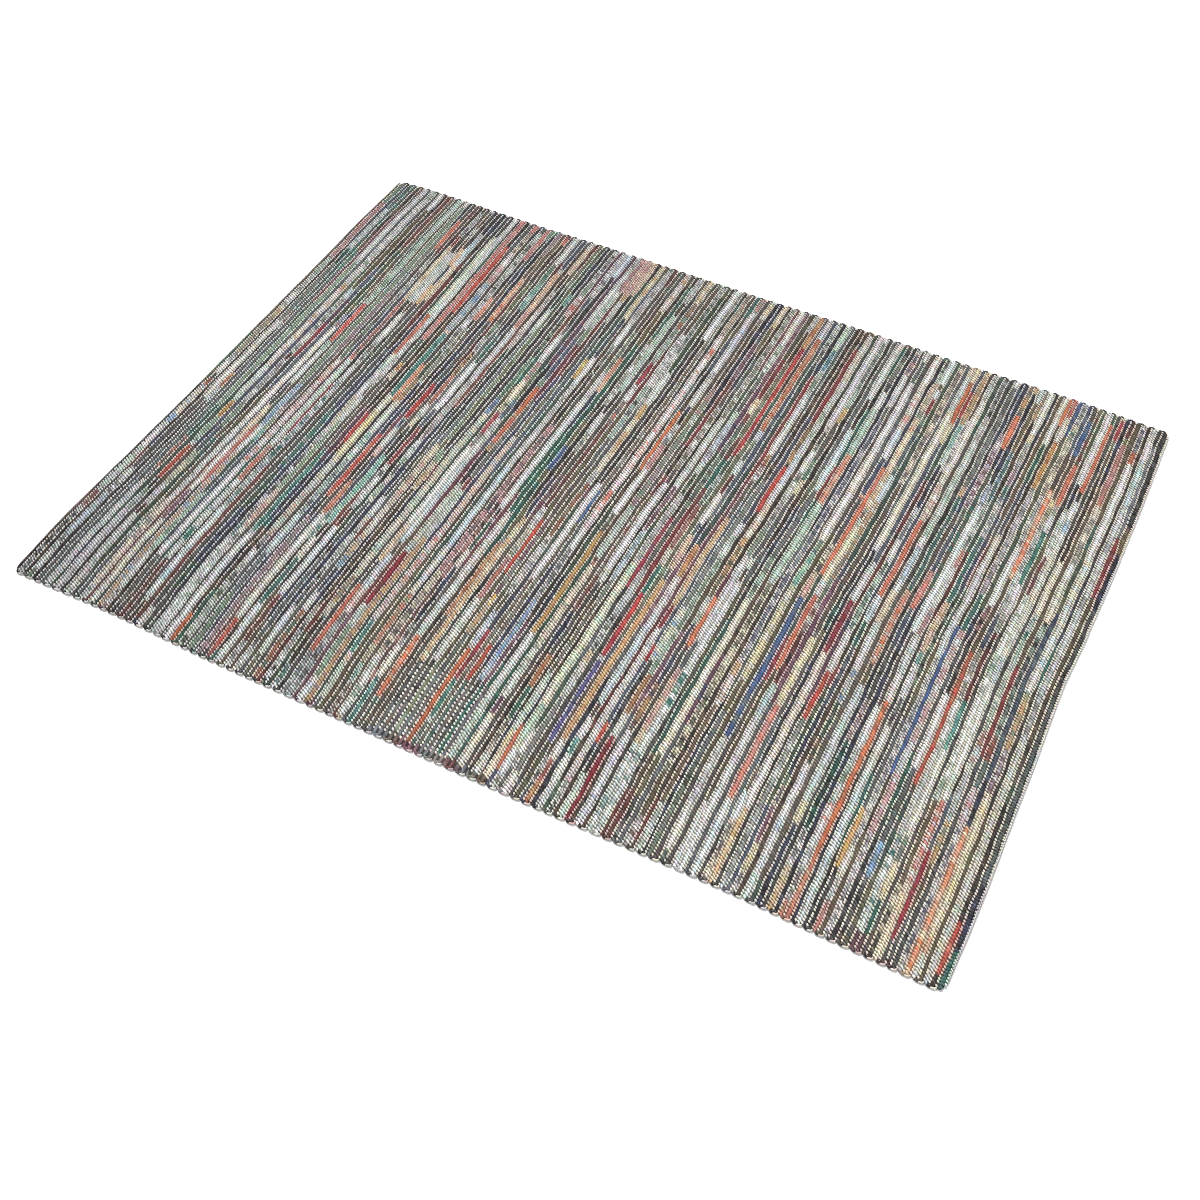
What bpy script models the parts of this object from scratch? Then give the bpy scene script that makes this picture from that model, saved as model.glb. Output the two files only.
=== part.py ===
"""A flat-woven rag and hemp rug, lying flat: one cloth, ribbed across by its rag rows.

Metres, +Z up. X runs along the warp, Y along the rag rows. The rug lies on Z = 0,
with the middle of its outline at the origin. A place on it is given by two shares:
along, from the left end to the right one, and across, from the front selvedge to
the back one.
"""

import math
import random

import bmesh
import bpy

# The cloth's nominal size, along the warp and along the rag rows
LENGTH = 1.62
WIDTH = 1.20

# The weave: fat rag rows, each beside a thin yarn row that lies lower
RAG_ROWS = 175
RAG_SHARE = 0.64  # of an even row pair, the rest being yarn
RAG_SPREAD = 0.38  # how much wider or narrower a rag row may be, as a share of itself
WANDERS = ((0.11, 1.0), (0.08, 2.1), (0.06, 3.3))  # of a yarn row: share of a rag, waves along it
ROW_SEED = 11

# Heights above the floor
YARN_TOP = 0.0052
RAG_RISE = 0.0018  # of an even rag row above the yarn
SELVEDGE_TOP = 0.0030
END_TOP = 0.0036

# The selvedges, where each rag turns back in a loop
RIM = 0.008
LOOP_REACH = 0.0016  # of a loop past the outline, and of a notch inside it
CORNER_RADIUS = 0.012
SECTIONS = 8  # across the cloth, between the two rims

# How far the outline stands outside the straight line between corners:
# share of the way along that side, millimetres outwards
BACK_EDGE = ((0, 0), (0.06, 3), (0.2, 1), (0.31, 4), (0.5, 3), (0.63, 6), (0.75, 4), (0.88, 5), (1, -1))
FRONT_EDGE = ((0, 0), (0.12, -3), (0.25, 1.5), (0.58, 1.5), (0.8, -3), (0.9, 0), (1, 2))
LEFT_END = ((0, 1), (0.1, 5), (0.28, 2), (0.4, 0), (0.75, -1), (0.88, 0), (1, -3))
RIGHT_END = ((0, -1), (0.12, 1), (0.3, -1.5), (0.47, -5), (0.58, 0), (0.7, 3), (0.85, 4), (1, 2))

# Where whole groups of rows lean out of line:
# millimetres along X, middle and reach along, middle and reach across
LEANS = (
    (9, 0.15, 0.20, 0.0, 0.11),
    (9, 0.38, 0.08, 0.0, 0.12),
    (7, 0.75, 0.25, 0.0, 0.10),
    (-6, 0.16, 0.12, 1.0, 0.15),
    (6, 0.90, 0.06, 1.0, 0.12),
)

CLOTH_COLOUR = (0.30, 0.28, 0.25, 1)
CLOTH_ROUGHNESS = 0.92


def eased(table, share):
    """The table's value at share, in metres, eased from one row to the next."""
    for (start, low), (end, high) in zip(table, table[1:]):
        if share <= end:
            t = (share - start) / (end - start)
            return (low + (high - low) * t * t * (3 - 2 * t)) / 1000
    return table[-1][1] / 1000


def rag_rows():
    """Each rag row's width as a share of an even one, and where its yarn's wanders start, in turns."""
    rng = random.Random(ROW_SEED)
    return [
        (1 + RAG_SPREAD * rng.uniform(-1, 1), [rng.random() for _ in WANDERS])
        for _ in range(RAG_ROWS)
    ]


def wander(starts, across):
    """How far a yarn row has wandered at that place across, as a share of an even rag row."""
    return sum(
        size * math.sin(math.tau * (waves * across + start))
        for (size, waves), start in zip(WANDERS, starts)
    )


def rag_widths(rows, across):
    """The rag rows' widths at that place across, as shares of an even one."""
    moves = [wander(starts, across) for width, starts in rows]
    moves[-1] = 0.0
    return [
        width + moved - moved_before
        for (width, _), moved, moved_before in zip(rows, moves, [0.0, *moves])
    ]


def crests_and_valleys(rows, across):
    """(share along, height, whether a rag lies there) for each line of points, at that place."""
    widths = rag_widths(rows, across)
    total = sum(widths) * RAG_SHARE + RAG_ROWS * (1 - RAG_SHARE)
    found = [(0.0, END_TOP, True)]
    start = 0.0
    for width in widths:
        rag = width * RAG_SHARE
        found.append(((start + rag / 2) / total, YARN_TOP + RAG_RISE * width, True))
        start += rag + 1 - RAG_SHARE
        found.append(((start - (1 - RAG_SHARE) / 2) / total, YARN_TOP, False))
    found[-1] = (1.0, END_TOP, True)
    return found


def shares_across():
    """The sections' places, from the front selvedge to the back one."""
    rim = RIM / WIDTH
    inner = [rim + (1 - 2 * rim) * k / SECTIONS for k in range(SECTIONS + 1)]
    return [0.0, *inner, 1.0]


def lean(along, across):
    """How far the rows lean along X there; none at the cloth's ends."""
    moved = 0.0
    for size, middle_along, reach_along, middle_across, reach_across in LEANS:
        far = ((along - middle_along) / reach_along) ** 2
        far += ((across - middle_across) / reach_across) ** 2
        moved += size / 1000 * math.exp(-far)
    return moved * (1 - (2 * along - 1) ** 8)


def corner_inset(along):
    """How far the selvedge is drawn in there to round the corners."""
    to_end = min(along, 1 - along) * LENGTH
    if to_end >= CORNER_RADIUS:
        return 0.0
    return CORNER_RADIUS - math.sqrt(CORNER_RADIUS**2 - (CORNER_RADIUS - to_end) ** 2)


def place(along, across, is_rag):
    """Where a point of the weave lies on the floor."""
    left = -LENGTH / 2 - eased(LEFT_END, across)
    right = LENGTH / 2 + eased(RIGHT_END, across)
    loop = (LOOP_REACH if is_rag else -LOOP_REACH) - corner_inset(along)
    front = -WIDTH / 2 - eased(FRONT_EDGE, along) - loop
    back = WIDTH / 2 + eased(BACK_EDGE, along) + loop
    return left + (right - left) * along + lean(along, across), front + (back - front) * across


def height(top, across):
    """The cloth's height there, rolled down at its selvedges."""
    return min(top, SELVEDGE_TOP) if across in (0.0, 1.0) else top


def ribbed_top():
    """A grid with a line of points on each crest and valley of the weave."""
    rows = rag_rows()
    sections = shares_across()
    lines = [crests_and_valleys(rows, across) for across in sections]
    last_column = 2 * RAG_ROWS
    last_section = len(sections) - 1
    bpy.ops.mesh.primitive_grid_add(
        x_subdivisions=last_column, y_subdivisions=last_section, size=2
    )
    cloth = bpy.context.object
    for vertex in cloth.data.vertices:
        column = round((vertex.co.x + 1) / 2 * last_column)
        section = round((vertex.co.y + 1) / 2 * last_section)
        across = sections[section]
        along, top, is_rag = lines[section][column]
        vertex.co = (*place(along, across, is_rag), height(top, across))
    return cloth


def close_underneath(mesh):
    """Gives the ribbed sheet its sides and a flat underside in one plane."""
    bm = bmesh.new()
    bm.from_mesh(mesh)
    underside = list(bm.faces)
    bmesh.ops.extrude_face_region(bm, geom=underside, use_keep_orig=True)
    for vertex in {vertex for face in underside for vertex in face.verts}:
        vertex.co.z = 0.0
    bmesh.ops.dissolve_faces(bm, faces=underside, use_verts=True)
    bmesh.ops.recalc_face_normals(bm, faces=bm.faces)
    bm.to_mesh(mesh)
    bm.free()


def centre_outline(mesh):
    """Moves the cloth so that the middle of its box lies over the origin."""
    for axis in (0, 1):
        places = [vertex.co[axis] for vertex in mesh.vertices]
        middle = (min(places) + max(places)) / 2
        for vertex in mesh.vertices:
            vertex.co[axis] -= middle


def material(name, colour, roughness):
    made = bpy.data.materials.new(name)
    made.use_nodes = True
    shader = made.node_tree.nodes["Principled BSDF"]
    shader.inputs["Base Color"].default_value = colour
    shader.inputs["Roughness"].default_value = roughness
    shader.inputs["Metallic"].default_value = 0.0
    return made


def build_cloth(collection):
    cloth = ribbed_top()
    cloth.name = "rug_cloth"
    close_underneath(cloth.data)
    centre_outline(cloth.data)
    cloth.data.materials.append(material("rag_weave", CLOTH_COLOUR, CLOTH_ROUGHNESS))
    for holder in cloth.users_collection:
        holder.objects.unlink(cloth)
    collection.objects.link(cloth)


def main():
    for old in list(bpy.data.objects):
        bpy.data.objects.remove(old)
    rug = bpy.data.collections.new("hemp_rug")
    bpy.context.scene.collection.children.link(rug)
    build_cloth(rug)


main()
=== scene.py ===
"""Looks of the hemp rug: its rags, lump by lump, its dots of yarn, its selvedges and its ends.

Metres, +Z up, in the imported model's frame. A place on the rug is given by two shares:
along, from the left end to the right one, and across, from the front selvedge to the back.
"""

import math
import random

import bpy
import numpy as np
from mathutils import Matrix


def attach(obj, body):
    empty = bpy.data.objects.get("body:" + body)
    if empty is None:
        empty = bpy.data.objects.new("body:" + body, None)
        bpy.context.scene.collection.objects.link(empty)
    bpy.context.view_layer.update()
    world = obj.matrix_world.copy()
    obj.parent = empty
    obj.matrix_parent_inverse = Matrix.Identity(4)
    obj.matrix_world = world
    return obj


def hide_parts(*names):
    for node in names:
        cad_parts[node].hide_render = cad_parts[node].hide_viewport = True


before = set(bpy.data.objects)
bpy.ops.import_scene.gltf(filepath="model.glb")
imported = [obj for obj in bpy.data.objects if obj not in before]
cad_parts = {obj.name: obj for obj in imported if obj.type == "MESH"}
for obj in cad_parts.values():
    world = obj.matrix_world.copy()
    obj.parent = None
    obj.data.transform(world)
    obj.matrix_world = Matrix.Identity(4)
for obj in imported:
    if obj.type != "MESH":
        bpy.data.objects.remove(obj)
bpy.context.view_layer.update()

CLOTH = "rug_cloth"
BODY = "root"

# The cloth and its weave, as in the solid
LENGTH = 1.62
WIDTH = 1.20
RAG_ROWS = 175
RAG_SHARE = 0.64  # of an even row pair, the rest being yarn
RAG_SPREAD = 0.38  # how much wider or narrower a rag row may be, as a share of itself
WANDERS = ((0.11, 1.0), (0.08, 2.1), (0.06, 3.3))  # of a yarn row: share of a rag, waves along it
ROW_SEED = 11
YARN_TOP = 0.0052
RAG_RISE = 0.0018
LOOP_REACH = 0.0016
CORNER_RADIUS = 0.012

# How far the outline stands outside the straight line between corners:
# share of the way along that side, millimetres outwards
BACK_EDGE = ((0, 0), (0.06, 3), (0.2, 1), (0.31, 4), (0.5, 3), (0.63, 6), (0.75, 4), (0.88, 5), (1, -1))
FRONT_EDGE = ((0, 0), (0.12, -3), (0.25, 1.5), (0.58, 1.5), (0.8, -3), (0.9, 0), (1, 2))
LEFT_END = ((0, 1), (0.1, 5), (0.28, 2), (0.4, 0), (0.75, -1), (0.88, 0), (1, -3))
RIGHT_END = ((0, -1), (0.12, 1), (0.3, -1.5), (0.47, -5), (0.58, 0), (0.7, 3), (0.85, 4), (1, 2))

# Where whole groups of rows lean out of line:
# metres along X, then its middle and reach along, and its middle and reach across
LEANS = (
    (0.009, 0.15, 0.20, 0.0, 0.11),
    (0.009, 0.38, 0.08, 0.0, 0.12),
    (0.007, 0.75, 0.25, 0.0, 0.10),
    (-0.006, 0.16, 0.12, 1.0, 0.15),
    (0.006, 0.90, 0.06, 1.0, 0.12),
)
OUTLINE_STEPS = 400  # each way, at which the outline is measured

# The lumps: every second warp thread pinches the rag, and yarn shows as a dot there
LUMPS = 231  # of each rag row
LUMP = WIDTH / LUMPS
STEPS = 3  # lines of points for each lump
LINES = np.arange(LUMPS * STEPS + 1)
LINE_LUMPS = np.clip(LINES // STEPS, 0, LUMPS - 1)  # the lump that each line starts or lies in
BAND_COUNT = 12  # pieces that the weave is split into
RAG_SLOT, YARN_SLOT = 0, 1  # of those pieces
FOLDS = 3  # side by side on a band's map
MAP_RAG = (0.02, 0.29)  # in a row's strip of the map, where its rag starts, and half its width
MAP_DOT = (0.81, 0.16, 0.45)  # a dot's middle and half its width there, and half its length in lumps
RAG_WIDTH = 0.90  # of its share of the row pair
PINCH_WIDTH = 0.60  # of the rag's width, where a warp thread pinches it
LUMP_REACH = 0.0004  # of a lump over the yarn rows beside it
LUMP_SLANT = 0.0018  # how far a lump's sides lie before and behind its middle
PINCH_DEPTH = 0.0010
LUMP_UNEVEN = 0.0003
RAG_UNEVEN = 0.13  # of a rag's width, from lump to lump
SIDE_HEIGHT = 0.0050  # of a rag's two sides above the floor
ROLL = 0.0034  # how near its edge the cloth starts to roll down
EDGE_HEIGHT = 0.0034  # of the rag's upper face right at the edge
ROLLED_WIDTH = 0.6  # of the rag's width there
RIBBON_REACH = -0.0003  # of a rag past the outline, where its turn takes over
WARP_UNEVEN = 0.09  # of the space between two warp threads
PINCH_UNEVEN = 0.15  # and of a lump's length, from row to row
WANDER = 0.0003  # how far a rag's line wanders
WANDER_WAVES = (9.0, 21.0)
WANDER_SPREAD = (0.8, 1.25)  # of those, from row to row

# The dots of yarn
DOT_SIDES = 8
DOT_TOP = 0.0069
DOT_FOOT = 0.0051
DOT_LENGTH = 0.0040
DOT_WIDTH = 1.32  # of the yarn row's width
DOT_SLANT = 0.50  # how far a dot leans, as a share of its width
DOT_SIZES = (0.9, 1.12)  # from dot to dot

# The dark warp seen between them, with the rags' colour there in painted shade, and the rug's underside
GROUND_TOP = 0.0049
GROUND_RIM = 0.7  # of that height, along its rim
GROUND_INSET = 0.0030
GROUND_SECTIONS = 60
GROUND_SHADED_RAGS = 0.42  # how much of the rags' colour shows between the dots, dimmed there as painted shade
UNDER_RISE = 0.0009  # of the yarn rows, above the rags on the floor

SEED = 5

PALETTE = {
    "charcoal": (97, 96, 95), "black": (52, 50, 50), "bottle": (70, 92, 82),
    "umber": (106, 91, 80), "olive": (110, 106, 84), "navy": (76, 82, 104), "slate": (110, 118, 124),
    "grey": (138, 140, 136), "silver": (216, 219, 218), "white": (248, 248, 246),
    "cream": (240, 230, 206), "ice": (212, 227, 238), "mint": (198, 221, 205),
    "sage": (138, 158, 138), "aqua": (122, 176, 165), "teal": (62, 112, 103),
    "rose": (200, 152, 152), "mauve": (156, 132, 142), "plum": (114, 78, 92),
    "crimson": (160, 62, 76), "maroon": (120, 70, 70), "red": (198, 84, 74),
    "coral": (210, 132, 116), "orange": (212, 122, 88), "rust": (168, 106, 82),
    "tan": (203, 165, 122), "gold": (204, 162, 100), "butter": (228, 216, 164),
    "peach": (232, 204, 180), "blue": (70, 96, 144), "sky": (138, 168, 200),
    "violet": (104, 97, 156),
}
# For each colour, those that its rag may have patches of; one named twice comes twice as often
KIN = {
    "charcoal": ("black", "slate", "umber"), "black": ("charcoal", "umber", "navy"),
    "bottle": ("charcoal", "teal", "olive"), "umber": ("charcoal", "olive", "black"),
    "olive": ("umber", "sage", "charcoal"), "navy": ("charcoal", "slate", "black"),
    "slate": ("grey", "navy", "charcoal"), "grey": ("silver", "slate", "sage"),
    "silver": ("white", "grey", "sage"), "white": ("silver", "ice", "cream"),
    "cream": ("white", "tan", "butter"), "ice": ("white", "silver", "silver"),
    "mint": ("white", "sage", "silver"), "sage": ("mint", "grey", "olive"),
    "aqua": ("teal", "mint", "sky"), "teal": ("bottle", "aqua", "slate"),
    "rose": ("peach", "mauve", "coral"), "mauve": ("plum", "rose", "grey"),
    "plum": ("maroon", "mauve", "navy"), "crimson": ("maroon", "red", "plum"),
    "maroon": ("umber", "crimson", "black"), "red": ("crimson", "coral", "rust"),
    "coral": ("rose", "orange", "peach"), "orange": ("rust", "coral", "peach"),
    "rust": ("umber", "orange", "tan"), "tan": ("cream", "rust", "peach"),
    "gold": ("tan", "rust", "butter"), "butter": ("cream", "gold", "white"),
    "peach": ("rose", "cream", "tan"), "blue": ("navy", "sky", "slate"),
    "sky": ("blue", "ice", "slate"), "violet": ("navy", "mauve", "plum"),
}
YARN_COLOURS = ((253, 252, 250), (252, 246, 231))  # at the left end and at the right
DOT_TINT = 0.45  # how much of the hue of the rags beside it a dot takes on
DOT_HUES = 0.045  # in each of red, green and blue, from dot to dot
DOT_FADES = (0.68, 1.04)  # from dot to dot
YARN_FADE = (0.84, 1.0)  # and from yarn row to yarn row
WARP_COLOUR = (50, 48, 45)

# The rags on the two shuttles: how often each colour comes, at the left end and at the right
DARK_RAGS = {
    "charcoal": (6, 5), "black": (11, 9), "bottle": (5, 5), "umber": (2.5, 3.5), "navy": (4, 3),
    "slate": (2, 1), "plum": (1.8, 1.4), "maroon": (2.5, 3), "olive": (1, 3), "teal": (0.6, 0.6),
}
MIXED_RAGS = {
    "white": (27, 26), "silver": (11, 9), "ice": (5, 3), "mint": (2.6, 2), "cream": (5, 11),
    "peach": (1, 3), "grey": (5, 4), "slate": (3, 2.5), "sage": (3, 3), "mauve": (0.8, 0.6),
    "rose": (1.4, 1.4), "tan": (2, 5), "butter": (0.4, 1.5), "coral": (0.8, 1.4),
    "orange": (0.2, 0.8), "red": (0.5, 0.5), "crimson": (0.7, 0.4), "rust": (0.8, 2),
    "teal": (2, 2.5), "aqua": (2, 2), "gold": (0.3, 1.1), "blue": (0.3, 0.4), "sky": (0.8, 0.8),
    "plum": (1.5, 1.5), "olive": (1.5, 3), "charcoal": (11, 8), "black": (12, 9),
    "umber": (3, 4), "bottle": (3, 3.5), "navy": (3, 3), "maroon": (3, 3.5),
}
PRINT_RAGS = {
    "white": (3, 3), "silver": (2, 2), "grey": (2, 2), "charcoal": (2, 2), "sage": (2, 2),
    "coral": (0.8, 0.8), "mauve": (0.1, 0.1), "tan": (0.8, 1.2), "sky": (0.6, 0.4),
    "rose": (0.7, 0.6), "teal": (1, 1), "cream": (1, 2), "mint": (1, 1),
}
SHUTTLES = {"dark": DARK_RAGS, "mixed": MIXED_RAGS}
BRIGHT_RAGS = ("coral", "orange", "red", "crimson", "gold", "blue", "teal", "aqua", "butter")
PALE_RAGS = ("silver", "white", "ice", "mint", "cream", "peach")
RAG_REACH = {"dark": 0.15, "mixed": 0.09, "bright": 0.055}  # metres, the middle length
RAG_REACH_SPREAD = 0.8
PRINTED_SHARE = {"dark": 0.05, "mixed": 0.5, "bright": 0.5}
MIXED_ROWS = (1, 1, 1, 1, 2)  # of the mixed shuttle, between two dark rows
SECOND_DARK = 0.14  # how often two dark rows lie side by side
FADE = 0.15  # lighter or darker, from rag to rag
TINT = 0.04  # in each of red, green and blue, from rag to rag
LUMP_FADES = (0.72, 1.14)  # of its rag's light, from lump to lump
LUMP_TINT = 0.05  # in each of red, green and blue, from lump to lump
FADE_HOLD = 0.45  # how much of a lump's fade goes on into the next
FLECKS = {"plain": 0.34, "print": 0.4}  # how strongly a rag's second colour comes and goes
FLECK_HOLD = 0.66  # how much of a fleck goes on into the next lump
FATNESS = {"dark": (0.64, 0.92), "pale": (0.85, 1.24), "other": (0.8, 1.15)}
THIN_END = 0.6  # of a rag's fatness, where it starts and ends
TAPER = 4  # lumps over which it grows fat
FATNESS_REACH = 2  # lumps over which a rag's end grows fatter or thinner
EVENING = 0.75  # how far the rows' own unevenness is taken up by their neighbours

# Rags that stand out in the photograph: centimetres from the left end, then the stretch
# that each covers, in centimetres from the front selvedge
RUNS = {
    "orange": (
        (39, 90, 104), (34, 63, 74), (32, 0, 6), (78, 85, 98), (56, 70, 78), (67, 6, 19),
        (76, 0, 21), (97, 86, 114), (82, 68, 84), (120, 60, 88), (90, 3, 12), (106, 37, 48),
        (137, 102, 111), (152, 98, 117), (147, 74, 96), (144, 112, 120), (138, 10, 41),
        (126, 104, 116), (156, 0, 26), (130, 60, 79),
    ),
    "coral": (
        (18, 104, 114), (28, 74, 86), (36, 89, 96), (36, 109, 120), (21, 34, 43), (16, 30, 46),
        (53, 9, 24), (66, 82, 92), (56, 62, 69), (71, 30, 40), (113, 75, 88), (118, 33, 44),
        (149, 93, 104), (135, 60, 69),
    ),
    "red": (
        (31, 89, 111), (15, 71, 83), (8, 28, 37), (32, 50, 58), (73, 37, 50), (78, 15, 23),
        (104, 68, 80), (128, 32, 42), (147, 29, 56), (101, 14, 18), (101, 31, 35), (160, 2, 11),
    ),
    "crimson": (
        (39, 60, 70), (54, 102, 112), (56, 21, 33), (92, 43, 60), (95, 29, 43), (104, 0, 16),
        (127, 106, 113), (126, 45, 57), (153, 4, 20),
    ),
    "blue": ((68, 61, 67), (78, 52, 60), (119, 24, 54), (143, 29, 60), (146, 110, 120), (149, 106, 116)),
    "violet": ((95, 11, 28),),
    "navy": ((24, 94, 101), (44, 110, 120), (70, 49, 59), (119, 80, 90)),
    "teal": ((33, 64, 83), (40, 13, 24), (112, 110, 119), (149, 73, 86), (140, 64, 80), (94, 69, 77)),
    "gold": ((61, 83, 89), (83, 28, 52), (142, 11, 22), (145, 95, 108)),
    "tan": ((69, 25, 42),),
    "black": ((77, 60, 106), (78, 62, 104), (54, 95, 112), (4, 0, 32)),
}

# Places where neighbouring rows share their colours: from and to along, from and to across,
# in centimetres, and the colours
PATCHES = (
    (70, 75, 0, 16, ("charcoal", "black", "charcoal", "olive")),
    (78.5, 83, 0, 16, ("black", "charcoal", "bottle", "charcoal")),
    (57, 60.5, 109, 120, ("rose", "mauve", "coral", "peach")),
    (21, 24, 88, 105, ("tan", "cream", "silver")),
)
PATCH_ENDS = (-1, 2)  # centimetres, between which its rags reach past a patch

# Where the rug is darker: how much, then its middle and reach along, and its middle and reach across
SHADES = ((0.22, 0.06, 0.30, 0.0, 0.26), (0.12, 0.45, 0.35, 1.0, 0.16), (0.1, 0.0, 0.12, 1.0, 0.2))

# Two stripes of rows by the front selvedge where fewer, larger dots lie more widely spaced
DARNS = ((0.70, 0.75), (0.785, 0.83))  # from the left end, in metres
DARN_DOTS = (22, 29)  # dots, where so many others would lie
DARN_SIZE = 1.22
DARN_TINT = 0.12  # in place of the other dots' tint

# The stretch of the front selvedge where soft turns of rag cover the weave
SOFT_TURNS = (0.69, 0.90)
SOFT_REACH = (0.007, 0.014)
SOFT_COLOURS = ("slate", "umber", "grey", "maroon", "charcoal", "slate", "umber", "plum")
SOFT_CHANGE = 0.5  # how often a row starts the next of them

# The turns of rag and yarn at the selvedges
TURN_STEPS = 8
TURN_SIDES = 6
RAG_TURN = (0.0021, 0.0030)  # half its width, half its height
RAG_TURN_LIFT = 0.0003  # above the floor
YARN_TURN = (0.0013, 0.0013)
YARN_TURN_TOP = 0.0050
TURN_DEPTH = 0.0030  # from a turn's ends to its outermost point
RAG_TURN_SPREAD = 0.7  # of the way between its two rows
RAG_TURN_PAINTED_SHADOW_SHARE = 0.6  # how far a rag that is turned tightly is in painted shadow
# The colour of that painted shadow
RAG_TURN_SHADOW = (44, 42, 44)

# The ends of the cloth: the outermost rag, which is round there, and a thread beside it
END_RAG = (0.0018, 0.0030)  # half its width, half its height
END_RAG_LIFT = 0.0002
END_CORD = (0.0010, 0.0013)
END_CORD_HEIGHT = 0.0040
END_CORD_START = 0.004  # across
END_CORD_REACH = {"charcoal": 0.32, "maroon": 0.45}
END_CORD_STEPS = 120

# The small pale loops along the ends, one for each lump but the outermost
WARP_LOOP = (0.0009, 0.0009)
WARP_LOOP_REACH = 0.0018
WARP_LOOP_HEIGHT = 0.0052
WARP_LOOP_SPAN = 0.3  # of a lump, to either side
WARP_LOOP_STEPS = 5
WARP_LOOP_MARGIN = 2  # lumps

# The textures: features for each metre along X, Y and Z, and the depths of their bumps
RAG_FOLDS = (110.0, 620.0, 110.0)
RAG_THREADS = (900.0, 2400.0, 900.0)
RAG_STREAKS = math.radians(40)  # how far the folds in a rag lean from its row
RAG_BUMP = 0.0007
YARN_PLIES = (420.0, 260.0, 0.0)
YARN_FIBRES = (2600.0, 2600.0, 2600.0)
YARN_BUMP = 0.0004
WARP_THREADS = (0.0, math.pi / LUMP, 0.0)
WARP_FIBRES = (900.0, 2200.0, 900.0)
WARP_BUMP = 0.0005
UNDER_LUMPS = (0.0, math.pi / LUMP / 10, 0.0)
UNDER_BUMP = 0.0010
FLOOR_GRAIN = (40.0, 40.0, 40.0)
FLOOR_BUMP = 0.0001

# How the materials shade their colours
RAG_PAINTED_HIGHLIGHT = (255, 250, 244)  # painted highlight, on the folds' ridges
PAINTED_SIDE_LIGHT = 0.46  # of a rag's colour, left at its sides by painted shade
PAINTED_GROOVE_LIGHT = 0.5  # and in its pinches, by painted shade
GROOVE_WARP = 0.3  # how much of the warp's colour shows there
GROOVE_VIVID = 0.7  # of that groove, in a vivid rag
PAINTED_FOOT_LIGHT = 0.5  # of a dot's colour, left at its foot by painted shade
GRAIN = (0.3, 0.7)  # where most of a noise's values lie
RAG_ROUGHNESS = (0.8, 0.96)
YARN_ROUGHNESS = (0.78, 0.94)
WARP_ROUGHNESS = (0.82, 0.96)
SPECULAR = 0.12

# The studio
FLOOR_SIZE = 30
FLOOR_COLOURS = ((248, 248, 248), (251, 251, 251))
FLOOR_ROUGHNESS = (0.6, 0.7)
WORLD_STRENGTH = 0.78
KEY_PLACE = (-1.4, 1.2, 3.0)
KEY_STRENGTH = 3.0
KEY_SOFTNESS = math.radians(20)
FILTER_WIDTH = 1.0  # pixels

# Where the photograph was taken from
CAMERA_PLACE = (0.804, -1.604, 1.947)
CAMERA_TURN = (38.946, 0, 27.369)
CAMERA_LENS = 45.92


def linear(colour):
    """The linear colour of one that is given from 0 to 255 for the screen."""
    share = np.asarray(colour, float) / 255
    return np.where(share <= 0.04045, share / 12.92, ((share + 0.055) / 1.055) ** 2.4)


RAG_COLOURS = {name: linear(colour) for name, colour in PALETTE.items()}


def eased(table, share):
    """The table's value at each share, in metres, eased from one row to the next."""
    shares, values = np.array(table, float).T
    row = np.clip(np.searchsorted(shares, share) - 1, 0, len(shares) - 2)
    t = np.clip((share - shares[row]) / (shares[row + 1] - shares[row]), 0, 1)
    return (values[row] + (values[row + 1] - values[row]) * t * t * (3 - 2 * t)) / 1000


def row_lines(across):
    """The rag rows' widths as shares of an even one, and where they start and end along the cloth."""
    rng = random.Random(ROW_SEED)
    widths = np.empty((RAG_ROWS, len(across)))
    moves = np.zeros((RAG_ROWS, len(across)))
    for row in range(RAG_ROWS):
        widths[row] = 1 + RAG_SPREAD * rng.uniform(-1, 1)
        for size, waves in WANDERS:
            moves[row] += size * np.sin(math.tau * (waves * across + rng.random()))
    moves[-1] = 0.0
    widths += moves
    widths[1:] -= moves[:-1]
    pairs = widths * RAG_SHARE + 1 - RAG_SHARE
    starts = (np.cumsum(pairs, axis=0) - pairs) / pairs.sum(axis=0)
    return widths, starts, starts + widths * RAG_SHARE / pairs.sum(axis=0)


def swells(table, along, across):
    """The sum there of the table's swells, each given by its size and its middles and reaches."""
    total = 0.0
    for size, middle_along, reach_along, middle_across, reach_across in table:
        far = ((along - middle_along) / reach_along) ** 2
        far = far + ((across - middle_across) / reach_across) ** 2
        total = total + size * np.exp(-far)
    return total


def lean(along, across):
    """How far the rows lean along X there; none at the cloth's ends."""
    return swells(LEANS, along, across) * (1 - (2 * along - 1) ** 8)


def shade(along, across):
    """How much of its light the rug keeps there."""
    return 1.0 - swells(SHADES, along, across)


def corner_inset(along):
    """How far the selvedge is drawn in there to round the corners."""
    short = CORNER_RADIUS - np.minimum(along, 1 - along) * LENGTH
    return CORNER_RADIUS - np.sqrt(CORNER_RADIUS**2 - np.clip(short, 0, CORNER_RADIUS) ** 2)


def uncentred(along, across, reach):
    """X and Y of a place, where the selvedges reach that far past their outline."""
    left = -LENGTH / 2 - eased(LEFT_END, across)
    right = LENGTH / 2 + eased(RIGHT_END, across)
    loop = reach - corner_inset(along)
    front = -WIDTH / 2 - eased(FRONT_EDGE, along) - loop
    back = WIDTH / 2 + eased(BACK_EDGE, along) + loop
    return left + (right - left) * along + lean(along, across), front + (back - front) * across


def outline_middle():
    """Where the middle of the solid's box lies, before it is moved to the origin."""
    steps = np.linspace(0, 1, OUTLINE_STEPS)
    places = uncentred(*np.meshgrid(steps, steps), LOOP_REACH)
    return [(values.min() + values.max()) / 2 for values in places]


MIDDLE = outline_middle()


def place(along, across, reach=0.0):
    """X and Y of a place on the floor, in the model's frame."""
    x, y = uncentred(along, across, reach)
    return x - MIDDLE[0], y - MIDDLE[1]


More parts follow.
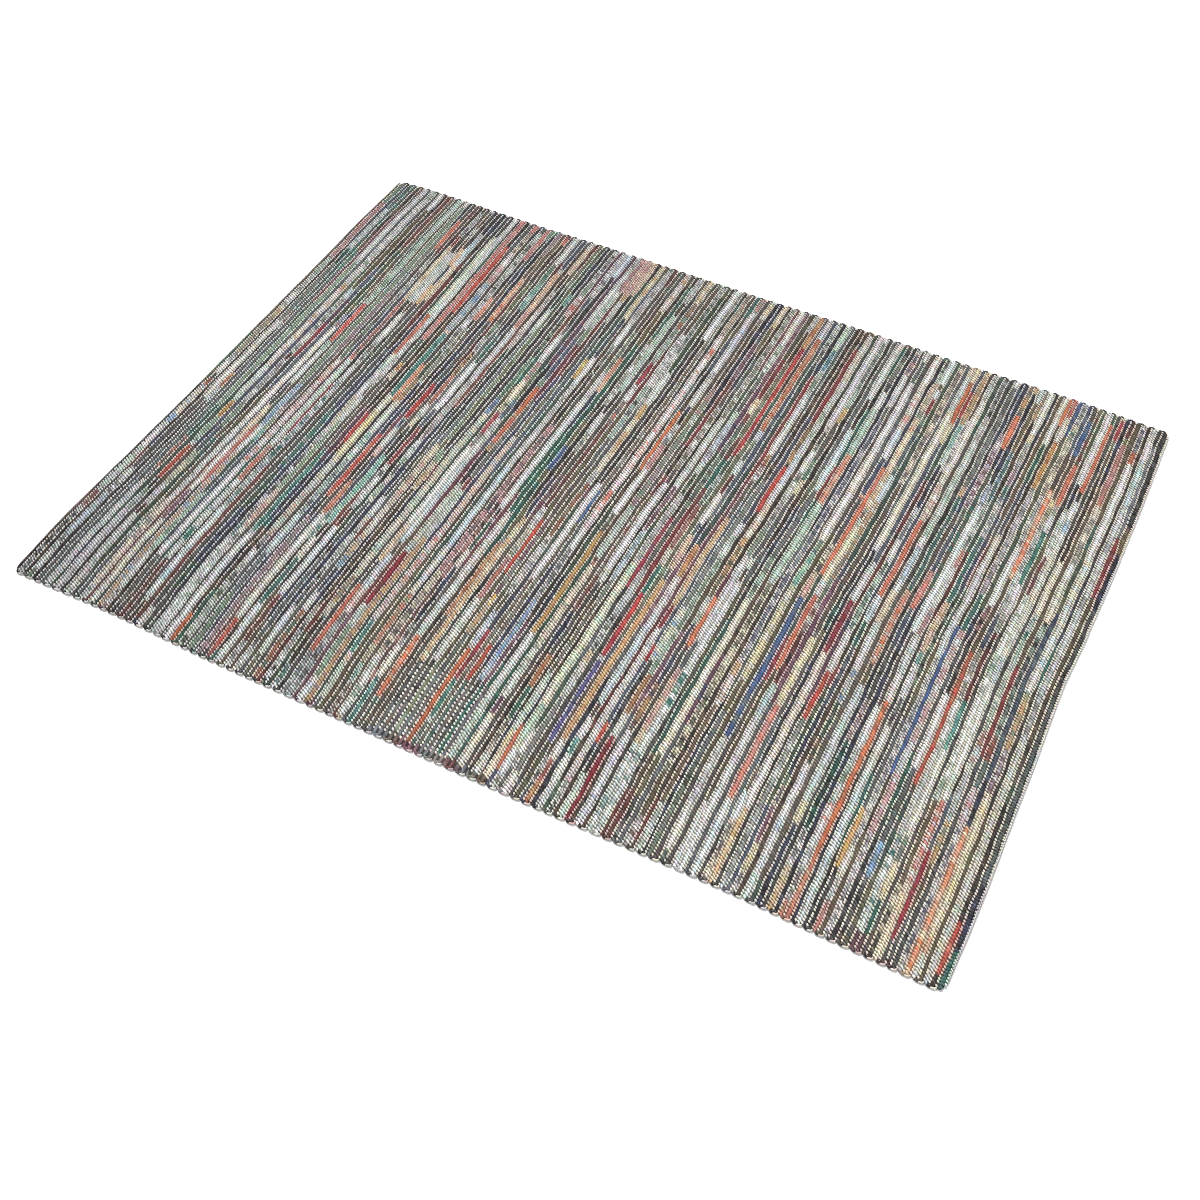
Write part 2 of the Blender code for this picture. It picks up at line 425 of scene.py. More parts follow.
def rolled(across):
    """How much of its full height the cloth has there, as it rolls down at its selvedges."""
    near = np.clip(np.minimum(across, 1 - across) * WIDTH / ROLL, 0, 1)
    return np.sqrt(1 - (1 - near) ** 2)


def pick(rng, rags, along):
    """A colour's name, as often as it comes at that place along the cloth."""
    weights = [low + (high - low) * along for low, high in rags.values()]
    return rng.choices(list(rags), weights)[0]


class Rag:
    """A torn strip of cloth: its colour, a second one that comes and goes in it, and its length."""

    def __init__(self, rng, name, second, flecks, lumps):
        self.rng = rng
        self.fade = 1 + rng.uniform(-FADE, FADE) + np.array([rng.uniform(-TINT, TINT) for _ in range(3)])
        self.colour = RAG_COLOURS[name]
        self.second = RAG_COLOURS[second]
        self.flecks = flecks
        self.fleck = 0.0
        self.done = 0
        self.left = lumps
        family = "pale" if name in PALE_RAGS else "dark" if name in DARK_RAGS else "other"
        self.fatness = rng.uniform(*FATNESS[family])

    def next_lump(self):
        """The next lump's colour and fatness."""
        self.fleck = self.fleck * FLECK_HOLD + self.rng.gauss(0, self.flecks)
        share = min(abs(self.fleck), 1.0)
        full = max(min(self.done, self.left, TAPER), 0) / TAPER
        self.done += 1
        self.left -= 1
        colour = (self.colour * (1 - share) + self.second * share) * self.fade
        return colour, self.fatness * (THIN_END + (1 - THIN_END) * full)


class Shuttle:
    """A shuttle wound with rags, one after another."""

    def __init__(self, rng, rags, kind):
        self.rng = rng
        self.rags = rags
        self.kind = kind
        self.rag = None

    def next_rag(self, along):
        name = pick(self.rng, self.rags, along)
        kind = "bright" if name in BRIGHT_RAGS else self.kind
        lumps = RAG_REACH[kind] / LUMP * math.exp(self.rng.gauss(0, RAG_REACH_SPREAD))
        if self.rng.random() < PRINTED_SHARE[kind]:
            return Rag(self.rng, name, pick(self.rng, PRINT_RAGS, along), FLECKS["print"], lumps)
        return Rag(self.rng, name, self.rng.choice(KIN[name]), FLECKS["plain"], lumps)

    def next_lump(self, along):
        if self.rag is None or self.rag.left <= 0:
            self.rag = self.next_rag(along)
        return self.rag.next_lump()


def shuttle_order(rng):
    """Which shuttle each row is woven from: a dark row, then one or a few mixed ones."""
    order = []
    while len(order) < RAG_ROWS:
        order += ["dark"] * (2 if rng.random() < SECOND_DARK else 1)
        order += ["mixed"] * rng.choice(MIXED_ROWS)
    return order[:RAG_ROWS]


def woven_rags(rng):
    """The colour and fatness of every lump, from two shuttles that go to and fro."""
    shuttles = {kind: Shuttle(rng, rags, kind) for kind, rags in SHUTTLES.items()}
    colours = np.empty((RAG_ROWS, LUMPS, 3))
    fatness = np.empty((RAG_ROWS, LUMPS))
    for row, kind in enumerate(shuttle_order(rng)):
        lumps = range(LUMPS) if row % 2 else reversed(range(LUMPS))
        for lump in lumps:
            colours[row, lump], fatness[row, lump] = shuttles[kind].next_lump(row / RAG_ROWS)
    return colours, fatness


def lump_range(low, high):
    """The lumps between two places, in centimetres from the front selvedge."""
    return range(max(round(low / 100 / LUMP), 0), min(round(high / 100 / LUMP), LUMPS))


def lay_rag(rng, colours, fatness, row, lumps, name):
    """Lays one rag over those lumps of a row."""
    rag = Rag(rng, name, rng.choice(KIN[name]), FLECKS["plain"], len(lumps))
    for lump in lumps:
        colours[row, lump], fatness[row, lump] = rag.next_lump()


def lay_runs(rng, colours, fatness, middles):
    """Lays the rags that stand out, each in the row nearest to its place."""
    for name, runs in RUNS.items():
        for along, low, high in runs:
            lumps = lump_range(low, high)
            far = np.abs(middles[:, lumps[len(lumps) // 2]] - along / 100)
            lay_rag(rng, colours, fatness, far.argmin(), lumps, name)


def lay_patches(rng, colours, fatness, middles):
    """Lays rags of a few colours in the rows of each patch."""
    for first, last, low, high, names in PATCHES:
        here = middles[:, lump_range(low, high)[0]] * 100
        for row in np.flatnonzero((here > first) & (here < last)):
            lumps = lump_range(low, high + rng.uniform(*PATCH_ENDS))
            lay_rag(rng, colours, fatness, row, lumps, rng.choice(names))


def held(values):
    """The values of each row, each drawn towards the one before it."""
    for column in range(1, values.shape[1]):
        values[:, column] += FADE_HOLD * (values[:, column - 1] - values[:, column])
    return values


def warp_places(rng):
    """Where each line of points lies across, as the warp threads are a little unevenly spaced."""
    gaps = 1 + WARP_UNEVEN * rng.uniform(-1, 1, LUMPS)
    threads = np.append(0, np.cumsum(gaps)) / gaps.sum()
    return np.interp(LINES / STEPS, np.arange(LUMPS + 1), threads)


class Weave:
    """The weave's lines of points, and the colours of its lumps. Its draws keep their order."""

    def __init__(self):
        rng = np.random.default_rng(SEED)
        even = warp_places(rng)
        self.widths, self.starts, self.ends = row_lines(even)
        middles = place((self.starts + self.ends) / 2, even)[0]
        self.from_left = middles[:, STEPS // 2 :: STEPS] + MIDDLE[0] + LENGTH / 2
        low, high = np.transpose(DARNS)
        self.darned = ((self.from_left[:, :1] > low) & (self.from_left[:, :1] < high)).any(axis=1)
        self.across = np.tile(even, (RAG_ROWS, 1))
        self.stretch_darns(even)
        moved = PINCH_UNEVEN / LUMPS * rng.uniform(-1, 1, (RAG_ROWS, LUMPS - 1))
        self.across[:, STEPS:-STEPS:STEPS] += moved
        self.wander = self.wandering(rng)
        draws = random.Random(SEED)
        self.colours, fatness = woven_rags(draws)
        lay_patches(draws, self.colours, fatness, self.from_left)
        lay_runs(draws, self.colours, fatness, self.from_left)
        self.soft = self.soft_turns(rng)
        self.make_room(fatness)
        self.colours *= held(rng.uniform(*LUMP_FADES, (RAG_ROWS, LUMPS)))[..., None]
        self.colours *= 1 + LUMP_TINT * rng.normal(size=(RAG_ROWS, LUMPS, 3))
        self.colours *= shade(self.from_left / LENGTH, np.arange(LUMPS) / LUMPS)[..., None]
        self.uneven = rng.uniform(-1, 1, (RAG_ROWS, LUMPS))
        self.dot_sizes = rng.uniform(*DOT_SIZES, (RAG_ROWS, LUMPS - 1))
        self.dot_sizes[self.darned, : DARN_DOTS[0]] *= DARN_SIZE
        self.dot_colours = self.tinted_dots(rng)

    def stretch_darns(self, even):
        """Spaces the first dots of the darned rows more widely."""
        first, last = DARN_DOTS
        numbers = np.interp(even * LUMPS, (0, first, last, LUMPS), (0, last - 1, last, LUMPS))
        for row in np.flatnonzero(self.darned):
            self.across[row] = numbers / LUMPS
            for lines in (self.widths, self.starts, self.ends):
                lines[row] = np.interp(numbers / LUMPS, even, lines[row])

    def tinted_dots(self, rng):
        """The yarn's colour at each dot, with a little of the rags beside it."""
        rows = np.concatenate([self.colours, self.colours[-1:]])
        beside = rows[:-1, :-1] + rows[:-1, 1:] + rows[1:, :-1] + rows[1:, 1:]
        hue = beside / beside.max(axis=2, keepdims=True)
        fade = held(rng.uniform(*DOT_FADES, (RAG_ROWS, LUMPS - 1)))
        fade = fade * rng.uniform(*YARN_FADE, (RAG_ROWS, 1))
        tint = np.where(self.darned, DARN_TINT, DOT_TINT)[:, None, None]
        share = (self.from_left[:, 1:] / LENGTH)[..., None]
        yarn = linear(YARN_COLOURS[0]) * (1 - share) + linear(YARN_COLOURS[1]) * share
        kept = shade(share[..., 0], np.arange(1, LUMPS) / LUMPS) * fade
        kept = kept[..., None] * (1 + DOT_HUES * rng.normal(size=hue.shape))
        return yarn * (1 - tint + tint * hue) * kept

    def make_room(self, fatness):
        """Moves the yarn rows between the rags, so that a fat rag has more room than a thin one."""
        reach = np.ones(2 * FATNESS_REACH + 1) / (2 * FATNESS_REACH + 1)
        padded = np.pad(fatness, ((0, 0), (FATNESS_REACH, FATNESS_REACH)), mode="edge")
        smooth = np.array([np.convolve(row, reach, mode="valid") for row in padded])
        wanted = smooth[:, LINE_LUMPS] - EVENING * self.widths
        moved = RAG_SHARE / RAG_ROWS / 2 * (wanted[:-1] - wanted[1:])
        self.ends[:-1] += moved
        self.starts[1:] += moved

    def wandering(self, rng):
        """How far each rag's line wanders, much as its neighbours do, in metres."""
        moved = 0.0
        for waves in WANDER_WAVES:
            turns = waves * self.across * rng.uniform(*WANDER_SPREAD, (RAG_ROWS, 1))
            moved = moved + WANDER * np.sin(math.tau * (turns + rng.random((RAG_ROWS, 1))))
        return (np.roll(moved, 1, axis=0) + 2 * moved + np.roll(moved, -1, axis=0)) / 2

    def soft_turns(self, rng):
        """How far in from the front selvedge each row is a soft turn, in metres; colours it too."""
        low, high = SOFT_TURNS
        inside = (self.from_left[:, 0] > low) & (self.from_left[:, 0] < high)
        reach = np.where(inside, rng.uniform(*SOFT_REACH, RAG_ROWS), 0.0)
        groups = np.cumsum(rng.random(RAG_ROWS) < SOFT_CHANGE) % len(SOFT_COLOURS)
        shades = np.array([RAG_COLOURS[SOFT_COLOURS[group]] for group in groups])
        shades = (np.roll(shades, 1, axis=0) + 2 * shades + np.roll(shades, -1, axis=0)) / 4
        for row in np.flatnonzero(inside):
            self.colours[row, : math.ceil(reach[row] / LUMP)] = shades[row]
        return reach


def ribbon_points(weave):
    """The rag rows' points, by row, line and place across the rag, and where they are pinched."""
    soft = weave.across * WIDTH < weave.soft[:, None]
    soft |= weave.darned[:, None] & (LINES < DARN_DOTS[1] * STEPS)
    pinched = np.where(soft, 0.0, (LINES % STEPS == 0).astype(float))
    uneven = weave.uneven[:, LINE_LUMPS]
    roll = rolled(weave.across)
    middle = (weave.starts + weave.ends) / 2
    half = (weave.ends - weave.starts) / 2 * RAG_WIDTH * (1 + RAG_UNEVEN * uneven)
    half = np.where(pinched > 0, half * PINCH_WIDTH, half + LUMP_REACH / LENGTH)
    half = half * (ROLLED_WIDTH + (1 - ROLLED_WIDTH) * roll)
    crest = YARN_TOP + RAG_RISE * weave.widths - PINCH_DEPTH * pinched + LUMP_UNEVEN * uneven
    points = np.empty((RAG_ROWS, len(LINES), 3, 3))
    for side in range(3):
        along = np.clip(middle + (side - 1) * half, 0, 1)
        x, y = place(along, weave.across, RIBBON_REACH)
        height = crest if side == 1 else SIDE_HEIGHT
        points[:, :, side, 0] = x + weave.wander
        points[:, :, side, 1] = y - (side - 1) * LUMP_SLANT * roll
        points[:, :, side, 2] = EDGE_HEIGHT + (height - EDGE_HEIGHT) * roll
    return points, pinched


def ribbon_colours(weave):
    """A colour for each line: a lump's own, and between two lumps their mean."""
    before = np.clip((LINES - 1) // STEPS, 0, LUMPS - 1)
    return (weave.colours[:, LINE_LUMPS] + weave.colours[:, before]) / 2


class Part:
    """Some faces of a piece, with what their material reads from the points, spread over them."""

    def __init__(self, points, faces, colours, crown, groove, maps, slot):
        shape = points.shape[:-1]
        self.points = points.reshape(-1, 3)
        self.faces = faces
        self.colours = np.broadcast_to(colours, (*shape, 3)).reshape(-1, 3)
        self.crown = np.broadcast_to(crown, shape).reshape(-1)
        self.groove = np.broadcast_to(groove, shape).reshape(-1)
        self.maps = maps
        self.slot = slot


def ribbons(points, pinched, colours, rows):
    """The rag ribbons of a band of rows."""
    count = len(rows)
    index = np.arange(count * len(LINES) * 3).reshape(count, len(LINES), 3)
    corners = [index[:, :-1, :-1], index[:, :-1, 1:], index[:, 1:, 1:], index[:, 1:, :-1]]
    row, line, side = np.indices((count, len(LINES) - 1, 2))
    per_fold = (len(LINES) - 1) // FOLDS
    start, half = MAP_RAG
    maps = np.empty((*row.shape, 4, 2))
    for corner, (step, over) in enumerate(((0, 0), (0, 1), (1, 1), (1, 0))):
        maps[..., corner, 0] = (line // per_fold + (row + start + half * (side + over)) / count) / FOLDS
        maps[..., corner, 1] = (line % per_fold + step) / per_fold
    return Part(
        points[rows],
        np.stack(corners, axis=-1).reshape(-1, 4),
        colours[rows][:, :, None],
        # Crown is 1 along the rag's middle and 0 at its sides, where the rag material paints shade
        (0.0, 1.0, 0.0),
        pinched[rows][:, :, None],
        maps.reshape(-1, 4, 2),
        RAG_SLOT,
    )


def dots(weave, rows):
    """The dots of yarn beside a band's rag rows."""
    number = np.arange(1, LUMPS)
    line = number * STEPS
    across = weave.across[rows][:, line]
    low = weave.ends[rows][:, line]
    high = np.vstack([weave.starts[1:], np.ones(len(LINES))])[rows][:, line]
    x, y = place((low + high) / 2, across)
    sizes = weave.dot_sizes[rows]
    half_width = (high - low) / 2 * LENGTH * DOT_WIDTH * sizes
    half_length = DOT_LENGTH / 2 * sizes
    turn = np.arange(DOT_SIDES) / DOT_SIDES * math.tau
    points = np.empty((len(rows), len(number), DOT_SIDES + 1, 3))
    points[..., 0] = x[..., None]
    points[..., 1] = y[..., None]
    out = half_width[..., None] * np.cos(turn)
    points[:, :, 1:, 0] += out
    points[:, :, 1:, 1] += half_length[..., None] * np.sin(turn) - DOT_SLANT * out
    roll = rolled(across)[..., None]
    points[:, :, 1:, 2] = DOT_FOOT * roll
    points[:, :, :1, 2] = DOT_FOOT + (DOT_TOP - DOT_FOOT) * roll * sizes[..., None]
    points[..., 0] += weave.wander[rows][:, line, None]
    shown = across * WIDTH > weave.soft[rows][:, None]
    shown &= ~(weave.darned[rows][:, None] & (number > DARN_DOTS[0]) & (number < DARN_DOTS[1]))
    return dot_part(points[shown], weave.dot_colours[rows][shown], shown)


def dot_part(points, colours, shown):
    """The faces, colours and maps of the dots that are shown."""
    count = len(points)
    first = np.arange(count)[:, None] * (DOT_SIDES + 1)
    ring = np.arange(DOT_SIDES)
    corners = [first + 0 * ring, first + 1 + ring, first + 1 + (ring + 1) % DOT_SIDES]
    row, number = np.nonzero(shown)
    number += 1
    per_fold = LUMPS // FOLDS
    mapped, half_width, half_length = MAP_DOT
    left = (number // per_fold + (row + mapped) / len(shown)) / FOLDS
    middle = np.stack([left, (number % per_fold + 0.5) / per_fold], axis=-1)
    turn = ring / DOT_SIDES * math.tau
    reach = np.array([half_width / len(shown) / FOLDS, half_length / per_fold])
    rim = middle[:, None] + reach * np.stack([np.cos(turn), np.sin(turn)], axis=-1)
    centre = np.broadcast_to(middle[:, None], rim.shape)
    maps = np.stack([centre, rim, np.roll(rim, -1, axis=1)], axis=2)
    faces = np.stack(corners, axis=-1).reshape(-1, 3)
    # Crown is 1 at the dot's top and 0 round its foot, where the yarn material paints shade
    crown = [1.0] + [0.0] * DOT_SIDES
    return Part(points, faces, colours[:, None], crown, 0.0, maps.reshape(-1, 3, 2), YARN_SLOT)


def tubes(paths, size, colours, slot):
    """Closed tubes along paths with the same number of points; size is half width, half height."""
    count, steps = paths.shape[:2]
    ahead = np.gradient(paths, axis=1)
    ahead /= np.linalg.norm(ahead, axis=2, keepdims=True)
    beside = np.stack([-ahead[..., 1], ahead[..., 0], np.zeros_like(ahead[..., 0])], axis=-1)
    beside /= np.linalg.norm(beside, axis=2, keepdims=True)
    above = np.cross(ahead, beside)
    turn = np.arange(TURN_SIDES) / TURN_SIDES * math.tau
    rings = paths[:, :, None] + size[0] * np.cos(turn)[:, None] * beside[:, :, None]
    rings = rings + size[1] * np.sin(turn)[:, None] * above[:, :, None]
    index = np.arange(count * steps * TURN_SIDES).reshape(count, steps, TURN_SIDES)
    over = np.roll(index, -1, axis=2)
    sides = np.stack([index[:, :-1], over[:, :-1], over[:, 1:], index[:, 1:]], axis=-1)
    faces = sides.reshape(-1, 4).tolist() + index[:, 0, ::-1].tolist() + index[:, -1].tolist()
    # Crown is 1 on top and 0 underneath, where the materials paint shade
    crown = 0.5 + 0.5 * np.sin(turn)
    return Part(rings, faces, colours.reshape(count, -1, 1, 3), crown, 0.0, None, slot)


def linked(name, data):
    """A new object in the scene."""
    made = bpy.data.objects.new(name, data)
    bpy.context.scene.collection.objects.link(made)
    return made


def piece(name, parts, materials):
    """Joins parts into one object, with the maps that they bring."""
    points = np.concatenate([part.points for part in parts])
    faces = []
    slots = []
    offset = 0
    for part in parts:
        faces += [[corner + offset for corner in face] for face in part.faces]
        slots += [part.slot] * len(part.faces)
        offset += len(part.points)
    mesh = bpy.data.meshes.new(name)
    mesh.from_pydata(points.tolist(), [], faces)
    mesh.polygons.foreach_set("material_index", slots)
    colours = np.concatenate([part.colours for part in parts])
    rgba = np.hstack([np.clip(colours, 0, 1), np.ones((len(colours), 1))])
    mesh.attributes.new("rag", "FLOAT_COLOR", "POINT").data.foreach_set("color", rgba.ravel())
    for attribute in ("crown", "groove"):
        values = np.concatenate([getattr(part, attribute) for part in parts])
        mesh.attributes.new(attribute, "FLOAT", "POINT").data.foreach_set("value", values)
    if all(part.maps is not None for part in parts):
        places = np.concatenate([part.maps.reshape(-1) for part in parts])
        mesh.uv_layers.new(name="OFBake").uv.foreach_set("vector", places)
    for one in materials:
        mesh.materials.append(one)
    mesh.shade_smooth()
    return linked(name, mesh)


def turn_paths(weave, rows, side, between):
    """Half rings round the edge, each from a row to the next; between takes those of the yarn."""
    across = 0.0 if side < 0 else 1.0
    column = 0 if side < 0 else -1
    middles = (weave.starts + weave.ends)[:, column] / 2
    if between:
        gaps = np.append(weave.starts[1:, column], 1.0)
        middles = (weave.ends[:, column] + gaps) / 2
    first, second = middles[rows], middles[rows + 1]
    turn = np.linspace(0, math.pi, TURN_STEPS)
    spread = 1.0 if between else RAG_TURN_SPREAD
    along = (first + second)[:, None] / 2 - spread * (second - first)[:, None] / 2 * np.cos(turn)
    x, y = place(along, np.full_like(along, across))
    size = YARN_TURN if between else RAG_TURN
    out = LOOP_REACH - size[0] - TURN_DEPTH + TURN_DEPTH * np.sin(turn)
    height = YARN_TURN_TOP - YARN_TURN[1] if between else RAG_TURN[1] + RAG_TURN_LIFT
    return np.stack([x, y + side * out, np.full_like(x, height)], axis=-1)


def darker(first, second):
    """The darker one of each two colours."""
    is_first = first.sum(axis=1, keepdims=True) < second.sum(axis=1, keepdims=True)
    return np.where(is_first, first, second)


def selvedges(weave):
    """Every second row's rag and yarn turn back into the next row, at each selvedge in its turn."""
    parts = []
    for side, first, column in ((-1, 0, 0), (1, 1, -1)):
        rows = np.arange(first, RAG_ROWS - 1, 2)
        tones = darker(weave.colours[rows, column], weave.colours[rows + 1, column])
        # Painted shadow over the tightly turned rags, none over the soft turns
        shadow = np.where(weave.soft[rows] > 0, 0.0, RAG_TURN_PAINTED_SHADOW_SHARE)[:, None]
        tones = tones * (1 - shadow) + linear(RAG_TURN_SHADOW) * shadow
        parts.append(tubes(turn_paths(weave, rows, side, False), RAG_TURN, tones, RAG_SLOT))
        tones = weave.dot_colours[rows, column]
        parts.append(tubes(turn_paths(weave, rows, side, True), YARN_TURN, tones, YARN_SLOT))
    return parts


def end_path(along, across, inwards, height):
    """A path along one end, that far in from it and that high."""
    x, y = place(np.full_like(across, along), across)
    inwards = inwards if along == 0.0 else -inwards
    return np.stack([x + inwards, y, np.full_like(x, height)], axis=-1)[None]


def end_rags(weave):
    """The outermost rags, round along both ends."""
    across = (np.arange(LUMPS) + 0.5) / LUMPS
    parts = []
    for along, row in ((0.0, 0), (1.0, -1)):
        path = end_path(along, across, END_RAG[0], END_RAG[1] + END_RAG_LIFT)
        parts.append(tubes(path, END_RAG, weave.colours[row][None], RAG_SLOT))
    return parts


def end_cords():
    """The dark thread by the left end and the dark red one by the right end."""
    parts = []
    for along, name in ((0.0, "charcoal"), (1.0, "maroon")):
        across = np.linspace(END_CORD_START, END_CORD_REACH[name], END_CORD_STEPS)
        path = end_path(along, across, END_CORD[0] / 2, END_CORD_HEIGHT)
        parts.append(tubes(path, END_CORD, RAG_COLOURS[name][None], RAG_SLOT))
    return parts


def warp_loops(weave):
    """The small pale loops, like dots, along both ends."""
    turn = np.linspace(0, math.pi, WARP_LOOP_STEPS)
    middles = (np.arange(WARP_LOOP_MARGIN, LUMPS - WARP_LOOP_MARGIN) + 0.5) / LUMPS
    across = middles[:, None] - WARP_LOOP_SPAN * LUMP / WIDTH * np.cos(turn)
    parts = []
    for along, side in ((0.0, -1), (1.0, 1)):
        x, y = place(np.full_like(across, along), across)
        x = x + side * (WARP_LOOP_REACH * np.sin(turn) - WARP_LOOP_REACH)
        path = np.stack([x, y, np.full_like(x, WARP_LOOP_HEIGHT)], axis=-1)
        parts.append(tubes(path, WARP_LOOP, weave.dot_colours[0, : len(path)], YARN_SLOT))
    return parts


def ground_grid():
    """Columns along the cloth at each rag's and each yarn row's middle, and sections across it."""
    inset = GROUND_INSET / WIDTH
    inner = np.linspace(2 * inset, 1 - 2 * inset, GROUND_SECTIONS)
    across = np.concatenate([[inset], inner, [1 - inset]])
    _, starts, ends = row_lines(across)
    rags = (starts + ends) / 2
    yarns = (ends + np.vstack([starts[1:], np.ones(len(across))])) / 2
    columns = np.stack([rags, yarns], axis=1).reshape(-1, len(across))
    edge = GROUND_INSET / LENGTH
    columns[0] = edge
    columns[-1] = 1 - edge
    return columns, across


def ground(weave, materials):
    """The thin dark ground between the rags, and below it their undersides, as one closed sheet."""
    columns, across = ground_grid()
    x, y = place(columns, across[None, :])
    count, sections = columns.shape
    top = np.full(columns.shape, GROUND_TOP)
    under = np.where(np.arange(count)[:, None] % 2, UNDER_RISE, 0.0) * np.ones(sections)
    rim = np.zeros(columns.shape, bool)
    rim[[0, -1]] = True
    rim[:, [0, -1]] = True
    top[rim] = GROUND_TOP * GROUND_RIM
    under[rim] = UNDER_RISE
    index = np.arange(count * sections).reshape(count, sections)
    corners = [index[:-1, :-1], index[1:, :-1], index[1:, 1:], index[:-1, 1:]]
    quads = np.stack(corners, axis=-1).reshape(-1, 4)
    ring = np.concatenate([index[:, 0], index[-1, 1:], index[-2::-1, -1], index[0, -2:0:-1]])
    below = index.size
    walls = [[b, a, a + below, b + below] for a, b in zip(ring, np.roll(ring, -1))]
    points = np.concatenate([np.stack([x, y, top], axis=-1), np.stack([x, y, under], axis=-1)])
    lump = np.clip((across * LUMPS).astype(int), 0, LUMPS - 1)
    rows = np.arange(count) // 2
    next_rows = np.minimum(np.arange(1, count + 1) // 2, RAG_ROWS - 1)
    seen = (weave.colours[rows][:, lump] + weave.colours[next_rows][:, lump]) / 2
    # Between the dots: the dark warp's own colour, and the rags' colour dimmed as painted shade
    colours = np.concatenate([linear(WARP_COLOUR) + GROUND_SHADED_RAGS * seen, seen])
    crown = np.tile(np.arange(count) % 2 == 0, 2)[:, None].astype(float)
    faces = quads.tolist() + walls + (quads[:, ::-1] + below).tolist()
    made = piece("rug_ground", [Part(points, faces, colours, crown, 0.0, None, 0)], materials)
    made.data.polygons.foreach_set("material_index", [0] * (len(faces) - len(quads)) + [1] * len(quads))
    return made


class Nodes:
    """A material's nodes, with short calls to add and join them."""

    def __init__(self, name):
        self.material = bpy.data.materials.new(name)
        self.material.use_nodes = True
        self.tree = self.material.node_tree
        self.shader = self.tree.nodes["Principled BSDF"]

    def put(self, node, inputs):
        """Gives a node's inputs, by name or number, their values or the sockets they are joined to."""
        for key, value in inputs.items():
            if isinstance(value, bpy.types.NodeSocket):
                self.tree.links.new(value, node.inputs[key])
            else:
                node.inputs[key].default_value = value

    def node(self, kind, inputs, **settings):
        """A new node; its settings come first, as some of them decide which inputs it has."""
        made = self.tree.nodes.new("ShaderNode" + kind)
        for key, value in settings.items():
            setattr(made, key, value)
        self.put(made, inputs)
        return made

    def math(self, operation, first, second):
        return self.node("Math", {0: first, 1: second}, operation=operation).outputs[0]

    def vector(self, operation, first, second):
        return self.node("VectorMath", {0: first, 1: second}, operation=operation).outputs[0]

    def times(self, colour, factor):
        """The colour times a number, which may be a socket."""
        return self.node("VectorMath", {0: colour, "Scale": factor}, operation="SCALE").outputs[0]

    def plus(self, first, second, share):
        """The first value and a share of the second one."""
        return self.math("ADD", first, self.math("MULTIPLY", second, share))

    def attribute(self, name, output="Fac"):
        return self.node("Attribute", {}, attribute_name=name).outputs[output]

    def places(self, scale, turn=0.0):
        """Places on the object, in metres, turned about Z and then times a scale for each axis."""
        inputs = {"Vector": self.node("TexCoord", {}).outputs["Object"], "Angle": turn}
        turned = self.node("VectorRotate", inputs, rotation_type="Z_AXIS")
        return self.vector("MULTIPLY", turned.outputs[0], scale)

    def noise(self, scale, detail, turn=0.0):
        """Noise from 0 to 1 whose features are about one over the scale long, in metres."""
        inputs = {"Vector": self.places(scale, turn), "Scale": 1.0, "Detail": detail}
        return self.node("TexNoise", inputs).outputs["Fac"]

    def wave(self, scale, direction, distortion=0.0):
        """Soft bands from 0 to 1."""
        inputs = {"Vector": self.places(scale), "Scale": 1.0, "Distortion": distortion}
        return self.node("TexWave", inputs, bands_direction=direction).outputs["Fac"]

    def between(self, value, low, high, first=0.0, last=1.0):
        """The value's way from low to high, smoothed, as a way from first to last."""
        inputs = dict(enumerate((value, low, high, first, last)))
        return self.node("MapRange", inputs, interpolation_type="SMOOTHSTEP").outputs[0]

    def saturation(self, colour):
        return self.node("SeparateColor", {0: colour}, mode="HSV").outputs[1]

    def mix(self, share, first, second):
        """Mixes two colours; hidden sockets of other kinds have the same names as these."""
        inputs = {"Factor": share, "A": first, "B": second}
        return self.node("Mix", inputs, data_type="RGBA").outputs["Result"]

    def finish(self, colour, height, distance, roughness):
        """Joins colour, bump and roughness to the shader, and gives the material."""
        bump = self.node("Bump", {"Height": height, "Distance": distance})
        self.put(self.shader, {"Normal": bump.outputs["Normal"], "Base Color": colour})
        self.put(self.shader, {"Roughness": roughness, "Specular IOR Level": SPECULAR})
        return self.material


def four(colour):
    """A colour as a shader socket takes it."""
    return (*linear(colour), 1.0)


def rag_material():
    """Torn cotton: folds and threads along it, painted shade at its sides, a painted highlight on its
    folds' ridges, and over each pinch a dark warp thread and painted shade.
    """
    nodes = Nodes("woven_rag")
    rag = nodes.attribute("rag", "Color")
    folds = nodes.noise(RAG_FOLDS, 2.0, RAG_STREAKS)
    threads = nodes.noise(RAG_THREADS, 3.0, RAG_STREAKS)
    tone = nodes.plus(nodes.between(folds, 0.36, 0.62, 0.66, 1.0), threads, 0.16)
    # Painted shade towards a rag's sides and under its turns
    side = nodes.between(nodes.attribute("crown"), 0.0, 0.6, PAINTED_SIDE_LIGHT, 1.0)
    colour = nodes.times(rag, nodes.math("MULTIPLY", tone, side))
    # A painted highlight where the folds' noise is high
    light = nodes.between(folds, 0.52, 0.66, 0.0, 0.06)
    colour = nodes.vector("ADD", colour, nodes.times(four(RAG_PAINTED_HIGHLIGHT)[:3], light))
    # Over each pinch, the dark warp thread's own colour mixed with painted shade; less of both in a
    # vivid rag
    vivid = nodes.between(nodes.saturation(rag), 0.35, 0.85, 1.0, GROOVE_VIVID)
    over = nodes.math("MULTIPLY", nodes.between(nodes.attribute("groove"), 0.05, 0.75), vivid)
    groove = nodes.mix(GROOVE_WARP, nodes.times(colour, PAINTED_GROOVE_LIGHT), four(WARP_COLOUR))
    colour = nodes.mix(over, colour, groove)
    roughness = nodes.between(threads, *GRAIN, *RAG_ROUGHNESS)
    return nodes.finish(colour, nodes.plus(folds, threads, 0.4), RAG_BUMP, roughness)


